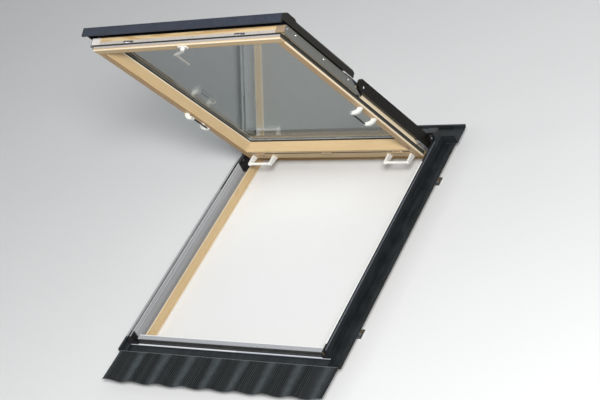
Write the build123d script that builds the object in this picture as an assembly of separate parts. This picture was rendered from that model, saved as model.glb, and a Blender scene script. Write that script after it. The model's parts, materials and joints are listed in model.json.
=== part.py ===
from build123d import *
import os
from math import cos, hypot, pi

# Roof window, top hung, with pine frame and sash, metal covers and flashing.
# Frame of reference: X along the eaves, Y up the slope, Z out of the roof; the origin lies at
# the middle of the frame's footprint, on the plane of its underside. Millimetres.
# The sash is drawn closed and then swung open about its hinge line.

# Overall sizes
frame_width = 1140.0
frame_length = 1398.0
frame_height = 130.0
opening_angle = 65.46

# Frame wood
side_wood = 45.0
head_wood = 45.0
sill_wood = 39.0
ledge_height = 66.0
ledge_width = 20.5
channel_height = 95.0
head_height = 104.0
sill_height = 97.5
sill_step = 14.5
sill_step_height = 72.5
groove_low = 4.0
groove_high = 13.0
groove_depth = 9.0
bolt_hole_radius = 5.0
bolt_hole_depth = 14.0
bolt_hole_setback = 121.0
bolt_hole_height = 27.0

# Frame metal
cover_gauge = 2.0
sheet = 1.5
cover_bottom = 59.0
lip_width = 8.5
lip_hem = 4.0
channel_rib = 1.0
lining_top = 383.0
housing_top = 8.0
housing_length = 192.0
housing_height = 125.5
housing_pockets = 4
pocket_rib = 6.0
pocket_depth = 12.0
corner_length = 38.5
cap_length = 35.0
cap_cheek = 46.0

# Hinge line of the arms, and the pivot between arms and sash
hinge_setback = 54.0
hinge_height = 143.0
hinge_pin_radius = 5.0
pivot_height = 118.0
pivot_pin_radius = 6.0
pin_clearance = 0.05
disc_radius = 24.0
disc_drop = 18.0
disc_neck = 14.0
disc_clearance = 0.8

# Sash wood, closed
side_gap = 3.0
end_gap = 8.0
sash_face = 50.0
sash_top = 112.0
edge_round = 5.0
rail_flat = 38.0
rail_slope = 50.0
slope_step = 2.0
slope_rise = 38.0
top_slope = 45.0
rebate = 22.0
seal_bottom = 8.0
seal_height = 10.5
seal_depth = 3.0
flap_width = 54.0
flap_thickness = 16.0
flap_gap = 8.0
flap_seal_width = 5.0
flap_swing_gap = 2.0
top_flat = 22.0

# Glazing
pane_thickness = 4.0
pane_space = 7.0
pane_edge_gap = 2.0
rebate_edge = 1.0
pane_seat = 6.0
gasket_lip = 1.5
gasket_drop = 2.0
spacer_width = 10.0

# Sash metal
side_overhang = 35.0
bottom_overhang = 61.0
cover_height = 153.0
shoulder_height = 137.0
shoulder_width = 12.0
bottom_shoulder = 31.0
band_bottom = 111.5
bottom_lip_height = 96.0
bottom_lip = 8.0
upper_cover_height = 139.0
cover_slope = 42.0
cover_toe = 118.0
glass_cover = 9.0
cover_pivot_gap = 113.0
plate_bottom = 68.5
plate_inset = 14.0
plate_low_gap = 4.0
plate_high_gap = 107.0
plate_tail = 3.0
end_cap_length = 104.0
end_cap_gauge = 3.0

# Arms
arm_gap = 1.0
arm_width = 16.2
arm_gauge = 2.5
arm_top = 150.0
arm_bottom = 92.0
arm_tail = 35.0
arm_end = 15.0
hinge_plate_drop = 19.0
hinge_plate_length = 118.0
hinge_plate_gauge = 3.0
hinge_plate_margin = 14.0

# Lock
strip_bottom = 77.0
strip_height = 14.0
strip_depth = 11.0
strip_proud = 1.5
rod_width = 6.0
rod_height = 8.0
tongue_centres = (-330.0, 294.0)
tongue_length = 24.0
lock_travel = 20.0
tongue_reach = 5.2
window_margin = 8.0
gear_box_centre = 12.0
gear_box_length = 56.0
keep_length = 72.0
keep_lip = 2.3
corner_keep_width = 46.0
corner_keep_gauge = 2.5

# Handles
handle_span = 140.0
handle_bracket = 12.0
stile_handle_place = 131.0
stile_handle_foot = 24.0
stile_handle_lean = 42.0
stile_handle_reach = 27.0
stile_bar_radius = 4.0
stile_bracket_round = 6.0
flap_handle_inset = 113.0
flap_handle_foot = 34.0
flap_handle_reach = 50.0
flap_bar_radius = 7.0
flap_bracket_round = 10.0
handle_x = -12.0
lever_length = 102.0
lever_offset = 30.0
lever_reach = 42.0
lever_thickness = 8.0
lever_width = 12.0
base_length = 50.0
base_width = 26.0
base_thickness = 5.0
hub_reach = 20.0
hub_radius = 10.0
spindle_radius = 5.0

# Flashing
flashing_height = 109.0
gutter_floor = 57.0
gutter_width = 59.5
gutter_fold = 18.5
gutter_hem = 13.5
head_flashing_length = 124.0
head_flashing_side = 70.0
strip_length = 38.0
apron_length = 179.0
apron_side = 55.0
apron_gauge = 1.4
pleat_pitch = 9.0
pleat_depth = 3.4
tile_pitch = 150.0
tile_crest = 10.0
apron_height = 66.0
wave_at_top = 0.5
wave_at_edge = 8.0

# Fixing brackets
bracket_inset = 209.0
bracket_gauge = 3.0
bracket_width = 54.0
bracket_reach = 40.0
bracket_hole_place = 25.0
bracket_height = 54.0
bracket_gusset = 16.0
bracket_hole_radius = 3.5

# Places worked out from the sizes
half_width = frame_width / 2
half_length = frame_length / 2
head_flashing_width = frame_width + 2 * head_flashing_side
apron_width = frame_width + 2 * apron_side
side_in = half_width - side_wood
wood_out = half_width - cover_gauge
bracket_spacing_x = 2 * (wood_out + bracket_hole_place)
bracket_spacing_y = frame_length - 2 * bracket_inset
wall_in = side_in + ledge_width
wall_out = wall_in + sheet
wood_end = half_length - sheet
head_in = half_length - head_wood
sill_in = -half_length + sill_wood
hinge_y = half_length - hinge_setback
sash_out = side_in - side_gap
sash_head = head_in - end_gap
sash_foot = sill_in + end_gap
pivot_y = (sash_head + sash_foot) / 2
rail_width = rail_flat + rail_slope
glass_x = sash_out - rail_width
glass_foot = sash_foot + rail_width
rebate_height = sash_face + slope_rise + rebate_edge
top_flat_end = sash_head - 2 - flap_width - flap_gap
glass_head = top_flat_end - top_flat - top_slope
pane_low = rebate_height + pane_seat
pane_high = pane_low + pane_thickness + pane_space
glass_top = pane_high + pane_thickness
cover_seat = sash_top
pane_x = glass_x + rebate - pane_edge_gap
pane_foot = glass_foot - rebate + pane_edge_gap
pane_head = glass_head + rebate - pane_edge_gap
cover_x = glass_x + glass_cover
cover_foot = glass_foot - glass_cover
cover_head = glass_head + glass_cover
band_out = sash_out + side_overhang
cover_front = sash_foot - bottom_overhang
arm_out = wall_in - arm_gap
arm_in = arm_out - arm_width
strip_half = sash_out - corner_keep_width + 16
handle_y = sash_foot + 22
stile_handle_x = sash_out - rail_flat / 2
flap_handle_place = sash_out - flap_handle_inset

hinge_line = Axis((0, hinge_y, hinge_height), (1, 0, 0))


def outline(points):
    return make_face(Polyline(*points, close=True)).face()


def along_x(points, x0, x1):
    """A section drawn in Y and Z, run from x0 to x1."""
    return Solid.extrude(Plane.YZ.offset(x0) * outline(points), Vector(x1 - x0, 0, 0))


def along_y(points, y0, y1):
    """A section drawn in X and Z, run from y0 to y1."""
    return Solid.extrude(Plane.XZ.offset(-y0) * outline(points), Vector(0, y1 - y0, 0))


def block(x0, x1, y0, y1, z0, z1):
    corner = [(x0, z0), (x1, z0), (x1, z1), (x0, z1)]
    return along_y(corner, y0, y1)


def rod(start, direction, radius, length):
    """A round bar from a start point along a direction."""
    base = Plane(start, z_dir=direction) * Circle(radius)
    return Solid.extrude(base.face(), Vector(*direction) * length)


def folded(path, gauge):
    """The outline of a sheet folded along a path, its thickness on the left of the path."""
    units = []
    for (ax, ay), (bx, by) in zip(path, path[1:]):
        size = hypot(bx - ax, by - ay)
        units.append(((bx - ax) / size, (by - ay) / size))
    inner = []
    for i, (px, py) in enumerate(path):
        ux, uy = units[max(i - 1, 0)]
        vx, vy = units[min(i, len(units) - 1)]
        spread = gauge / (1 + ux * vx + uy * vy)
        inner.append((px - (uy + vy) * spread, py + (ux + vx) * spread))
    return list(path) + inner[::-1]


def mirrored(part):
    return mirror(part, about=Plane.YZ)


def pair(part):
    return [part, mirrored(part)]


def opened(part):
    """A piece drawn on the closed window, swung to the open position."""
    return part.rotate(hinge_line, -opening_angle)


def wood_profile(inner, outer, top):
    """Lower outline of a frame member, with the groove for a lining in its inner face."""
    way = 1 if outer > inner else -1
    deep = inner + way * groove_depth
    return [
        (outer, 0), (inner, 0), (inner, groove_low), (deep, groove_low),
        (deep, groove_high), (inner, groove_high), (inner, top - 1.5), (inner + way * 1.5, top),
    ]


# Frame

def frame_side():
    section = wood_profile(side_in, wood_out, ledge_height) + [
        (wall_out, ledge_height), (wall_out, channel_height), (wood_out, channel_height),
    ]
    side = along_y(section, -wood_end, wood_end)
    hole_y = -half_length + bolt_hole_setback
    start = (side_in - 1, hole_y, bolt_hole_height)
    return side - rod(start, (1, 0, 0), bolt_hole_radius, bolt_hole_depth)


def frame_head():
    section = wood_profile(head_in, wood_end, head_height) + [(wood_end, head_height)]
    return along_x(section, -side_in, side_in)


def frame_sill():
    step_y = -wood_end + sill_step
    section = wood_profile(sill_in, -wood_end, sill_height) + [
        (step_y, sill_height), (step_y, sill_step_height), (-wood_end, sill_step_height),
    ]
    return along_x(section, -side_in, side_in)


housing_y0 = wood_end - housing_top - housing_length
housing_y1 = wood_end - housing_top
corner_y = -wood_end + corner_length


def side_liner():
    """Ledge and inner wall of one side, in one folded sheet."""
    path = [(side_in + 0.5, ledge_height), (wall_out, ledge_height), (wall_out, frame_height - 1)]
    return along_y(folded(path, sheet), -wood_end, housing_y0)


def channel_lining():
    """Light lining of the outer lip, with two ribs along it."""
    path = [(wall_out + 3, channel_height), (wood_out, channel_height), (wood_out, frame_height - 2.5)]
    lining = along_y(folded(path, sheet), corner_y, half_length - lining_top)
    for height in (frame_height - 20, frame_height - 11):
        face = wood_out - sheet
        rib = block(face - channel_rib, face, corner_y, half_length - lining_top, height, height + 2)
        lining += rib
    return lining


def channel_gasket():
    """Rubber on the outer side of the inner wall, with a lip at its top."""
    top = frame_height - 1
    section = [
        (wall_out, channel_height), (wall_out + 2.5, channel_height), (wall_out + 2.5, top - 7),
        (wall_out + 5, top - 3), (wall_out + 5, top), (wall_out, top),
    ]
    return along_y(section, corner_y, housing_y0)


def channel_insert():
    """Dark lining of the channel between the light lining and the hinge housing."""
    path = [(wall_out + 3, channel_height), (wood_out, channel_height), (wood_out, frame_height - 2.5)]
    return along_y(folded(path, sheet), half_length - lining_top, housing_y0)


def side_cover():
    lip_x = half_width - lip_width
    path = [
        (half_width, cover_bottom), (half_width, frame_height),
        (lip_x, frame_height), (lip_x, frame_height - lip_hem),
    ]
    return along_y(folded(path, cover_gauge), -wood_end, wood_end)


def sill_liner():
    step_y = -wood_end + sill_step
    path = [(step_y, sill_step_height + 3.5), (step_y, sill_height), (sill_in, sill_height), (sill_in, sill_height - 3)]
    return along_x(folded(path, sheet), -side_in + 0.5, side_in - 0.5)


def sill_gasket():
    back = -wood_end + sill_step - sheet
    seat = sill_step_height + sheet
    section = [
        (back, seat), (back, sill_height - 2), (back - 2.5, sill_height), (back - 4, sill_height - 5),
        (back - 4, seat + 6), (back - 9.5, seat + 2), (back - 9.5, seat),
    ]
    return along_x(section, -side_in + 0.5, side_in - 0.5)


def sill_cover():
    """Outer cover of the sill, with a drip edge, and wings over the ends of the sides."""
    low = cover_bottom - 3
    path = [(-wood_end, low), (-wood_end, sill_step_height), (-wood_end + sill_step, sill_step_height)]
    cover = along_x(folded(path, sheet), -side_in + 0.5, side_in - 0.5)
    wing = block(side_in - 0.5, half_width, -half_length, -wood_end, low, sill_step_height + sheet)
    return cover + wing + mirrored(wing)


def corner_block():
    """Stop at the foot of a channel: two lugs with a slot for the sash's side band."""
    low = sill_step_height + sheet
    slot_in = band_out - end_cap_gauge - 1
    slot_out = band_out + 3.5
    top = frame_height - 3.5
    plate = [
        (side_in - 0.5, low), (half_width, low), (half_width, frame_height - 4), (slot_out, frame_height - 4),
        (slot_out, channel_height + 11), (slot_in, channel_height + 11), (slot_in, top), (wall_in, top),
        (wall_in, channel_height), (side_in - 0.5, channel_height),
    ]
    lugs = [
        (wall_out, channel_height), (wood_out, channel_height), (wood_out, frame_height - 4.5),
        (slot_out, frame_height - 4.5), (slot_out, channel_height + 11), (slot_in, channel_height + 11),
        (slot_in, top), (wall_out, top),
    ]
    return along_y(plate, -half_length, -wood_end) + along_y(lugs, -wood_end, corner_y)


def hinge_housing():
    """Dark casting at the top of a side: its wall, its pocketed body and the ear for the pin."""
    section = [
        (side_in + 0.5, ledge_height), (wall_out, ledge_height), (wall_out, channel_height),
        (wood_out, channel_height), (wood_out, housing_height), (wall_in, housing_height),
        (wall_in, ledge_height + sheet), (side_in + 0.5, ledge_height + sheet),
    ]
    housing = along_y(section, housing_y0, housing_y1)
    pitch = (housing_length - pocket_rib) / housing_pockets
    for i in range(housing_pockets):
        y0 = housing_y0 + pocket_rib + i * pitch
        y1 = y0 + pitch - pocket_rib
        housing -= block(wall_in - 1, wall_in + pocket_depth, y0, y1, channel_height + 4, housing_height - 4)
    ear_in = arm_out + 3
    ear_out = ear_in + 6
    reach = hinge_pin_radius * 3
    foot = [
        (hinge_y - reach - 3, housing_height), (hinge_y + reach + 3, housing_height),
        (hinge_y + reach, hinge_height), (hinge_y - reach, hinge_height),
    ]
    ear = along_x(foot, ear_in, ear_out) + rod((ear_in, hinge_y, hinge_height), (1, 0, 0), reach, 6)
    ear -= rod((ear_in - 1, hinge_y, hinge_height), (1, 0, 0), hinge_pin_radius, 8)
    return housing + ear


def hinge_pin():
    """Headed pin through the ear and the arm."""
    ear_out = arm_out + 9
    shank = rod((arm_in + 1, hinge_y, hinge_height), (1, 0, 0), hinge_pin_radius, ear_out - arm_in - 1)
    return shank + rod((ear_out, hinge_y, hinge_height), (1, 0, 0), hinge_pin_radius + 3, 3)


def head_hood():
    """Sheet over the head, its front edge just above the hinge line."""
    front = hinge_y - 8
    path = [
        (half_length, head_height - 4), (half_length, hinge_height + 15),
        (front, hinge_height + 19), (front, hinge_height + 13),
    ]
    return along_x(folded(path, sheet), -sash_out - 1, sash_out + 1)


def corner_cap():
    """Cap over the top corner: outer wall with a sloping cheek, top and back."""
    cap_top = hinge_height + 20
    low = flashing_height + 3
    outer = half_width + sheet
    back = half_length - cap_length
    slope_foot = back - cap_cheek
    path = [(outer, low), (outer, cap_top), (side_in - 1, cap_top)]
    cap = along_y(folded(path, sheet), back, half_length)
    cheek = [(back, low), (back, cap_top), (back - 14, cap_top), (slope_foot, low + 6), (slope_foot, low)]
    cap += along_x(cheek, half_width, outer)
    cap += block(side_in - 1, half_width, half_length - sheet, half_length, low, cap_top - sheet)
    cover_slot = block(side_in - 2, half_width, half_length - 2 * sheet, half_length + 1, low - 1, frame_height + 0.5)
    return cap - cover_slot


# Flashing

def side_gutter():
    outer = half_width + gutter_width
    path = [
        (half_width, flashing_height), (half_width, gutter_floor), (outer, gutter_floor),
        (outer, gutter_floor + gutter_fold), (outer - gutter_hem, gutter_floor + gutter_fold),
    ]
    gutter = along_y(folded(path, sheet), -half_length - strip_length, half_length)
    front = block(half_width - 1, half_width + 10, -half_length - strip_length - 1, -half_length - 0.5,
                  sill_step_height + 3, flashing_height + 1)
    return gutter - front


def head_flashing():
    end = half_length + head_flashing_length
    path = [
        (half_length, flashing_height), (half_length, gutter_floor + 3), (end - 8, gutter_floor + 3),
        (end, gutter_floor + 16), (end - 13, gutter_floor + 18),
    ]
    half = head_flashing_width / 2
    return along_x(folded(path, sheet), -half, half)


def apron_strip():
    """Flat strip below the sill, with one low step along it."""
    end = -half_length - strip_length
    middle = -half_length - strip_length / 2
    low = apron_height - 6
    path = [(end, low), (middle - 1, low), (middle + 1, low + sheet), (-half_length, low + sheet)]
    return along_x(folded(path, sheet), -half_width, half_width)


def pleat_line(amplitude):
    """Zigzag of fine pleats riding on the waves of the tiles, as points in X and Z."""
    count = int(apron_width / pleat_pitch)
    points = []
    for i in range(2 * count + 1):
        x = (i - count) * pleat_pitch / 2
        wave = amplitude * cos(2 * pi * (x - tile_crest) / tile_pitch)
        side = pleat_depth / 2 if i % 2 else -pleat_depth / 2
        points.append((x, apron_height + wave + side))
    return points


def pleated_apron():
    """Pleated sheet, flat at its top edge and following the tiles at its lower edge."""
    y_top = -half_length - strip_length
    ends = []
    for y, amplitude in ((y_top, wave_at_top), (y_top - apron_length, wave_at_edge)):
        upper = pleat_line(amplitude)
        lower = [(x, z - apron_gauge) for x, z in reversed(upper)]
        ends.append(Plane.XZ.offset(-y) * outline(upper + lower))
    return loft(ends, ruled=True)


def fixing_bracket(y):
    """Angle bracket with a gusset, screwed to the side wood and to a batten."""
    y0 = y - bracket_width / 2
    y1 = y + bracket_width / 2
    path = [(wood_out, bracket_height), (wood_out, 0), (wood_out + bracket_reach, 0)]
    bracket = along_y(folded(path, bracket_gauge), y0, y1)
    inner = wood_out + bracket_gauge
    gusset = [
        (inner, bracket_gauge), (inner + bracket_gusset, bracket_gauge),
        (inner, bracket_gusset * 2 + bracket_gauge),
    ]
    bracket += along_y(gusset, y - bracket_gauge / 2, y + bracket_gauge / 2)
    return bracket - rod((bracket_spacing_x / 2, y, -1), (0, 0, 1), bracket_hole_radius, bracket_gauge + 2)


def lock_keep(centre):
    """Plate on the sill's inner face, with a lip over the locked tongue."""
    x0 = centre - keep_length / 2
    x1 = centre + keep_length / 2
    lip_top = strip_bottom + strip_height - 0.5
    plate = block(x0, x1, sill_in, sill_in + sheet, strip_bottom - 9, lip_top)
    front = sill_in + sheet + keep_lip
    return plate + block(centre + 4, x1 - 2, sill_in + sheet, front, lip_top - sheet, lip_top)


# Arms

def arm():
    """Pressed channel from the hinge pin to the pivot pin, open towards the sash."""
    end_y = hinge_y + arm_end
    heel = arm_bottom - 4
    bend = sash_head - 120
    side = [
        (pivot_y - arm_tail, arm_bottom + 8), (pivot_y - arm_tail + 10, arm_bottom), (bend, arm_bottom),
        (bend + 14, heel), (end_y - 5, heel), (end_y, heel + 5), (end_y, arm_top - 5), (end_y - 5, arm_top),
        (pivot_y - arm_tail + 10, arm_top), (pivot_y - arm_tail, arm_top - 10),
    ]
    body = along_x(side, arm_in, arm_out)
    pocket = offset(outline(side), amount=-arm_gauge, kind=Kind.INTERSECTION).face()
    body -= Solid.extrude(Plane.YZ.offset(arm_in) * pocket, Vector(arm_width - arm_gauge, 0, 0))
    for y, z, radius in (
        (hinge_y, hinge_height, hinge_pin_radius), (pivot_y, pivot_height, pivot_pin_radius),
    ):
        half = min(radius + 7, arm_top - z, end_y - hinge_y) - 0.5
        body += block(arm_in + 1, arm_out, y - half, y + half, z - half, z + half)
        body -= rod((arm_in - 1, y, z), (1, 0, 0), radius + pin_clearance, arm_width + 2)
    return body


def arm_hinge_plate():
    """Bright angle under the arm beside the hinge, with two slots."""
    seat = arm_bottom - 4
    path = [(arm_out - 0.2, seat - hinge_plate_drop), (arm_out - 0.2, seat), (arm_in + 1, seat)]
    end = hinge_y + 5
    plate = along_y(folded(path, hinge_plate_gauge), end - hinge_plate_length, end)
    pitch = (hinge_plate_length - hinge_plate_margin) / 2
    for i in range(2):
        y0 = end - hinge_plate_length + hinge_plate_margin + i * pitch
        y1 = y0 + pitch - hinge_plate_margin
        plate -= block(arm_out - 8, arm_out + 1, y0, y1, seat - hinge_plate_drop + 5, seat - 7)
    return plate


def pivot_pin():
    """Disc on the stile with the pin that turns in the arm."""
    face = arm_in - sash_out - disc_clearance
    reach = arm_out - sash_out - disc_clearance
    disc = rod((sash_out, pivot_y, pivot_height - disc_drop), (1, 0, 0), disc_radius, face)
    low = pivot_height - disc_drop
    top = pivot_height + disc_neck / 2
    disc += block(sash_out, sash_out + face, pivot_y - disc_neck, pivot_y + disc_neck, low, top)
    return disc + rod((sash_out, pivot_y, pivot_height), (1, 0, 0), pivot_pin_radius, reach)


# Sash wood

def ring(x_out, foot_out, head_out, x_in, foot_in, head_in_y, z0, z1):
    hole = block(-x_in, x_in, foot_in, head_in_y, z0 - 1, z1 + 1)
    return block(-x_out, x_out, foot_out, head_out, z0, z1) - hole


def edge_band(proud, z0, z1):
    """A band let into the outer faces of the stiles and the bottom rail."""
    x_in = sash_out - seal_depth
    x_out = sash_out + proud
    band = block(-x_out, x_out, sash_foot - proud, sash_head, z0, z1)
    return band - block(-x_in, x_in, sash_foot + seal_depth, sash_head + 1, z0 - 1, z1 + 1)


def sash_seal():
    low = sash_face + seal_bottom
    return edge_band(side_gap / 2, low, low + seal_height)


def sash_gasket():
    """Black band in the groove between the seal and the lock strip."""
    return edge_band(0, sash_face + seal_bottom + seal_height, strip_bottom)


def flap_seal():
    """Black seal at the bottom of the gap between the top rail and the flap."""
    end_y = top_flat_end + flap_seal_width
    return block(-flap_half, flap_half, top_flat_end, end_y, sash_face + 4, flap_roof)


def rail_section(outer, way):
    """Section of a stile or the bottom rail, from its outer face towards the glass."""
    flat_end = outer + way * rail_flat
    slope_end = flat_end + way * rail_slope
    edge = slope_end - way * rebate
    bevel = edge_round * 0.3
    return [
        (outer, sash_face + edge_round), (outer + way * bevel, sash_face + bevel),
        (outer + way * edge_round, sash_face), (flat_end, sash_face), (flat_end, sash_face + slope_step),
        (slope_end, sash_face + slope_rise), (slope_end, rebate_height), (edge, rebate_height),
        (edge, sash_top), (outer, sash_top),
    ]


def bottom_rail():
    rail = along_x(rail_section(sash_foot, 1), -sash_out, sash_out)
    groove = block(-strip_half, strip_half, sash_foot - 1, sash_foot + strip_depth,
                   strip_bottom, strip_bottom + strip_height)
    return rail - sash_seal() - sash_gasket() - groove


def stile():
    rail = along_y(rail_section(sash_out, -1), sash_foot + 15, sash_head)
    whole_foot = along_x(rail_section(sash_foot, 1), -sash_out, sash_out)
    rail -= block(glass_x - 1, flap_half + 3, top_flat_end, sash_head + 1, sash_face - 1, flap_roof)
    return rail - whole_foot - sash_seal() - sash_gasket()


def top_rail():
    slope_foot = top_flat_end - top_flat
    edge = glass_head + rebate
    section = [
        (top_flat_end, sash_face), (top_flat_end, flap_roof), (sash_head, flap_roof), (sash_head, sash_top),
        (edge, sash_top), (edge, rebate_height), (glass_head, rebate_height),
        (glass_head, sash_face + slope_rise), (slope_foot, sash_face),
    ]
    rail = along_x(section, -sash_out + 12, sash_out - 12)
    for side in pair(along_y(rail_section(sash_out, -1), sash_foot + 15, sash_head)):
        rail -= side
    return rail


# Glazing

def pane(z):
    return block(-pane_x, pane_x, pane_foot, pane_head, z, z + pane_thickness)


def pane_spacer():
    inset = 4.0
    x = pane_x - inset
    foot = pane_foot + inset
    head = pane_head - inset
    w = spacer_width
    return ring(x, foot, head, x - w, foot + w, head - w, pane_low + pane_thickness, pane_high)


def inner_gasket():
    """Seat under the inner pane, with a lip that shows inside the wood's edge."""
    x_in = glass_x - gasket_lip
    foot_in = glass_foot + gasket_lip
    head_in_y = glass_head - gasket_lip
    seat = ring(pane_x, pane_foot, pane_head, x_in, foot_in, head_in_y, rebate_height, pane_low)
    lip_low = rebate_height - gasket_drop
    lip = ring(glass_x, glass_foot, glass_head, x_in, foot_in, head_in_y, lip_low, rebate_height)
    return seat + lip


def outer_gasket():
    x_in = cover_x - 7
    return ring(pane_x, pane_foot, pane_head, x_in, cover_foot + 7, cover_head - 7, glass_top, cover_seat)


# Sash covers

def bottom_path():
    return [
        (cover_foot, cover_seat), (cover_foot, cover_toe), (cover_foot - cover_slope - 6, cover_height),
        (cover_front + bottom_shoulder, cover_height), (cover_front, shoulder_height),
        (cover_front, bottom_lip_height), (cover_front + bottom_lip, bottom_lip_height),
    ]


def side_path():
    return [
        (band_out, band_bottom), (band_out, shoulder_height), (band_out - shoulder_width, cover_height),
        (cover_x + cover_slope, cover_height), (cover_x, cover_toe), (cover_x, cover_seat),
    ]


def top_path():
    return [
        (sash_head - 2, sash_top), (sash_head - 2, upper_cover_height - 9), (sash_head - 11, upper_cover_height),
        (cover_head + cover_slope - 4, upper_cover_height), (cover_head, cover_toe), (cover_head, cover_seat),
    ]


def filled_bottom():
    """The space under the bottom cover, used to fit the side covers to it."""
    base = [(cover_front, cover_seat)]
    half = band_out - end_cap_gauge
    return along_x(bottom_path()[:5] + base, -half, half)


def filled_top():
    base = [(cover_head, sash_top)]
    return along_x(top_path()[:5] + base, -sash_out, sash_out)


def bottom_cover():
    """Full-width cover, cut away under the side covers to clear the frame's inner walls."""
    half = band_out - end_cap_gauge
    cover = along_x(folded(bottom_path(), cover_gauge), -half, half)
    back = cover_front + end_cap_length
    under = block(cover_x + cover_slope, half + 1, back, cover_foot + 1, sash_top - 1, cover_height)
    return cover - under - mirrored(under)


def cover_end_cap():
    """End of the bottom cover, cut back to pass into the frame's channel."""
    back = cover_front + end_cap_length
    slope_foot = cover_foot - cover_slope - 6
    run = (back - slope_foot) / (cover_foot - slope_foot)
    back_height = cover_height - run * (cover_height - cover_toe)
    side = [
        (cover_front, bottom_lip_height), (cover_front, shoulder_height), (cover_front + bottom_shoulder, cover_height),
        (slope_foot, cover_height), (back, back_height), (back, band_bottom),
        (cover_front + 10, band_bottom), (cover_front + 10, bottom_lip_height),
    ]
    return along_x(side, band_out - end_cap_gauge, band_out)


def sash_side_cover():
    end = pivot_y - cover_pivot_gap
    cover = along_y(folded(side_path(), cover_gauge), cover_front + bottom_shoulder, end)
    return cover - filled_bottom() - cover_end_cap()


def upper_side_cover():
    x = sash_out - 2
    path = [
        (x, sash_top), (x, upper_cover_height - 9), (x - 9, upper_cover_height),
        (cover_x + cover_slope - 4, upper_cover_height), (cover_x, cover_toe), (cover_x, cover_seat),
    ]
    cover = along_y(folded(path, cover_gauge), pivot_y - cover_pivot_gap, sash_head - 20)
    return cover - filled_top()


def top_cover():
    half = sash_out - 2
    cover = along_x(folded(top_path(), cover_gauge), -half, half)
    side = top_path()[:5] + [(cover_head, sash_top)]
    for end in pair(along_x(side, half, half + cover_gauge)):
        cover += end
    return cover


def side_plate():
    """Plate beside the lower half of a stile, held by a flange on top of the wood."""
    x = band_out - plate_inset
    top = sash_top + sheet
    side = [
        (sash_foot - plate_tail, plate_bottom), (pivot_y - plate_low_gap, plate_bottom),
        (pivot_y - plate_high_gap, top), (sash_foot - plate_tail, top),
    ]
    plate = along_x(side, x - sheet, x)
    flange_end = pivot_y - cover_pivot_gap - 1
    return plate + block(sash_out - 22, x - sheet, sash_foot, flange_end, sash_top, top)


# Lock

def lock_strip():
    """Channel in the bottom rail's outer face, in which the lock rod slides, with a window for each tongue."""
    front = sash_foot - strip_proud
    back = sash_foot + strip_depth
    top = strip_bottom + strip_height
    strip = block(-strip_half, strip_half, front, back, strip_bottom, top)
    gear_x = gear_box_centre - gear_box_length / 2
    strip += block(gear_x, gear_x + gear_box_length, front - 1, front, strip_bottom, top)
    strip -= block(-strip_half - 1, strip_half + 1, front + sheet, back - sheet, strip_bottom + sheet, top - sheet)
    for centre in tongue_centres:
        x0 = centre - tongue_length / 2 - window_margin
        x1 = centre + tongue_length / 2 + window_margin + lock_travel
        strip -= block(x0, x1, front - 1, front + 2, strip_bottom + 2, top - 2)
    return strip


def lock_rod():
    """Flat rod with two tongues, in the unlocked position."""
    y0 = sash_foot + 1
    z0 = strip_bottom + 3
    half = strip_half - lock_travel - 6
    body = block(-half, half, y0, y0 + rod_width, z0, z0 + rod_height)
    for centre in tongue_centres:
        x0 = centre - tongue_length / 2
        body += block(x0, x0 + tongue_length, sash_foot - tongue_reach, y0, z0 + 1.5, z0 + 6.5)
    return body


def corner_keep():
    """White corner plate where the bottom rail meets the stile."""
    top = sash_top - 1
    x0 = strip_half + 2
    x1 = x0 + corner_keep_width
    face = sash_foot - corner_keep_gauge
    plate = block(x0, x1, face, sash_foot, strip_bottom, top)
    boss = block(x0, x1 - 6, face - 1.5, face, strip_bottom, strip_bottom + strip_height)
    pocket = block(x0 + 8, x0 + 24, face - 1, face + 1, top - 14, top - 6)
    return plate + boss - pocket


# Handles

def handle_ends(centre):
    """Where the two brackets of a handle stand along it."""
    reach = (handle_span - handle_bracket) / 2
    return (centre - reach, centre + reach)


def stile_handle():
    """Two curved brackets sweeping down and inwards from the stile, with holes for the bar."""
    half = stile_handle_foot / 2
    seat_in = stile_handle_x - half
    seat_out = stile_handle_x + half
    tip_x = stile_handle_x - stile_handle_lean
    tip_z = sash_face - stile_handle_reach
    r = stile_bracket_round
    bend = (stile_handle_x - 2, tip_z + 3)
    inner = Polyline(
        (tip_x, tip_z - r), (tip_x - r, tip_z - r / 2), (tip_x - r, tip_z + r / 2), (tip_x, tip_z + r),
        (seat_in - r / 2, tip_z + 2.5 * r), (seat_in, sash_face), (seat_out, sash_face),
    )
    outer = ThreePointArc((seat_out, sash_face), bend, (tip_x, tip_z - r))
    section = make_face(Wire([*inner.edges(), outer])).face()
    brackets = []
    for y in handle_ends(pivot_y + stile_handle_place):
        y0 = y - handle_bracket / 2
        bracket = Solid.extrude(Plane.XZ.offset(-y0) * section, Vector(0, handle_bracket, 0))
        brackets.append(bracket - rod((tip_x, y0 - 1, tip_z), (0, 1, 0), stile_bar_radius, handle_bracket + 2))
    return brackets


def stile_handle_bar():
    """Dark bar held by the two brackets."""
    start = (stile_handle_x - stile_handle_lean, pivot_y + stile_handle_place - handle_span / 2,
             sash_face - stile_handle_reach)
    return rod(start, (0, 1, 0), stile_bar_radius, handle_span)


def flap_handle(centre):
    """Bar along X between two solid brackets that taper from their feet."""
    y = flap_y0 + 12
    z = sash_face - flap_handle_reach
    r = flap_bracket_round
    section = [(flap_y1, sash_face), (y + r, z), (y - r, z), (flap_y1 - flap_handle_foot, sash_face)]
    start = (centre - handle_span / 2, y, z)
    handle = rod(start, (1, 0, 0), flap_bar_radius, handle_span)
    for x in handle_ends(centre):
        x0 = x - handle_bracket / 2
        handle += along_x(section, x0, x0 + handle_bracket)
        handle += rod((x0, y, z), (1, 0, 0), r, handle_bracket)
    return handle


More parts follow.
